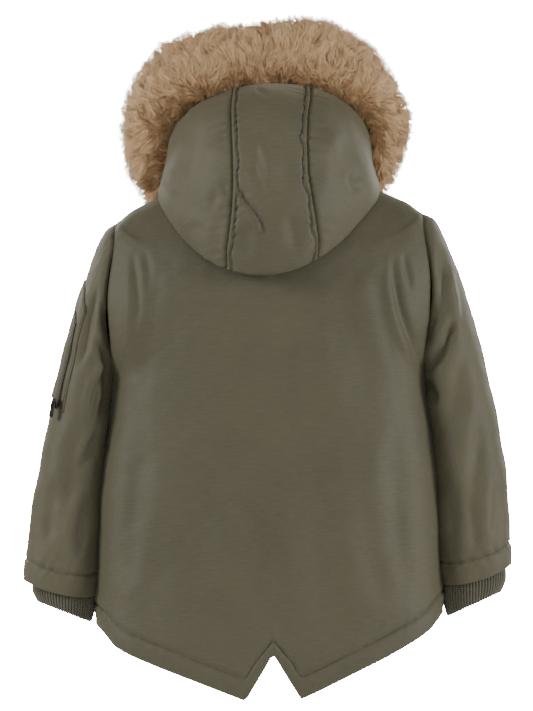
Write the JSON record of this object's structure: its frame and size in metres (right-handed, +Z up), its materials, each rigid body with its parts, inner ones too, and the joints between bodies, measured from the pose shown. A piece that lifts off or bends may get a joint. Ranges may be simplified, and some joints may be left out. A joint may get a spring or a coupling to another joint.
{
  "type": "fur trimmed parka",
  "caption": "Child's hooded parka, filled out as if worn, with a fur trimmed hood, fishtail back hem, zipped sleeve pocket, ribbed cuffs and a front zip.",
  "frame": {"origin": "middle of the neck opening, level with the shoulders' ends, where the wearer's neck and shoulders carry the coat", "axes": "+Z up, -Y out of the front, +X to the wearer's left"},
  "size_m": [0.551, 0.2446, 0.764],
  "materials": {
    "olive_cloth": "satin olive shell cloth, finely woven",
    "olive_rib_knit": "matt dark olive rib knit",
    "tan_fur": "long soft tan fake fur, browner at the roots",
    "zip_tape": "matt dark olive zip tape",
    "dark_zip": "dark moulded zip teeth",
    "dark_metal": "dark lacquered zip slider and pull"
  },
  "bodies": {
    "coat": {"back_panel": "olive_cloth", "front_panel_left": "olive_cloth", "front_panel_right": "olive_cloth", "sleeve_left": "olive_cloth", "sleeve_right": "olive_cloth", "rib_cuff_left": "olive_rib_knit", "rib_cuff_right": "olive_rib_knit", "hood_centre_panel": "olive_cloth", "hood_side_left": "olive_cloth", "hood_side_right": "olive_cloth", "fur_trim": "tan_fur", "sleeve_pocket_patch": "olive_cloth", "sleeve_pocket_welt": "olive_cloth", "sleeve_pocket_zip": "dark_zip", "sleeve_zip_slider": "dark_metal", "front_zip_tape_left": "zip_tape", "front_zip_tape_right": "zip_tape", "front_zip_chain": "dark_zip", "front_zip_slider": "dark_metal"},
    "sleeve_pull": {"sleeve_zip_pull_tab": "dark_metal"},
    "front_pull": {"front_zip_pull_tab": "dark_metal"}
  },
  "joints": [
    {"name": "front_pull_swing", "type": "hinge", "parent": "coat", "child": "front_pull", "pos_m": [0, -0.08997, 0.01043], "axis": [0.9995, 0, -0.033], "range_deg": [-150, 0]},
    {"name": "sleeve_pull_swing", "type": "hinge", "parent": "coat", "child": "sleeve_pull", "pos_m": [0.24357, 0.04062, -0.22385], "axis": [-0.6408, 0.7561, -0.1328], "range_deg": [-150, 0]}
  ]
}
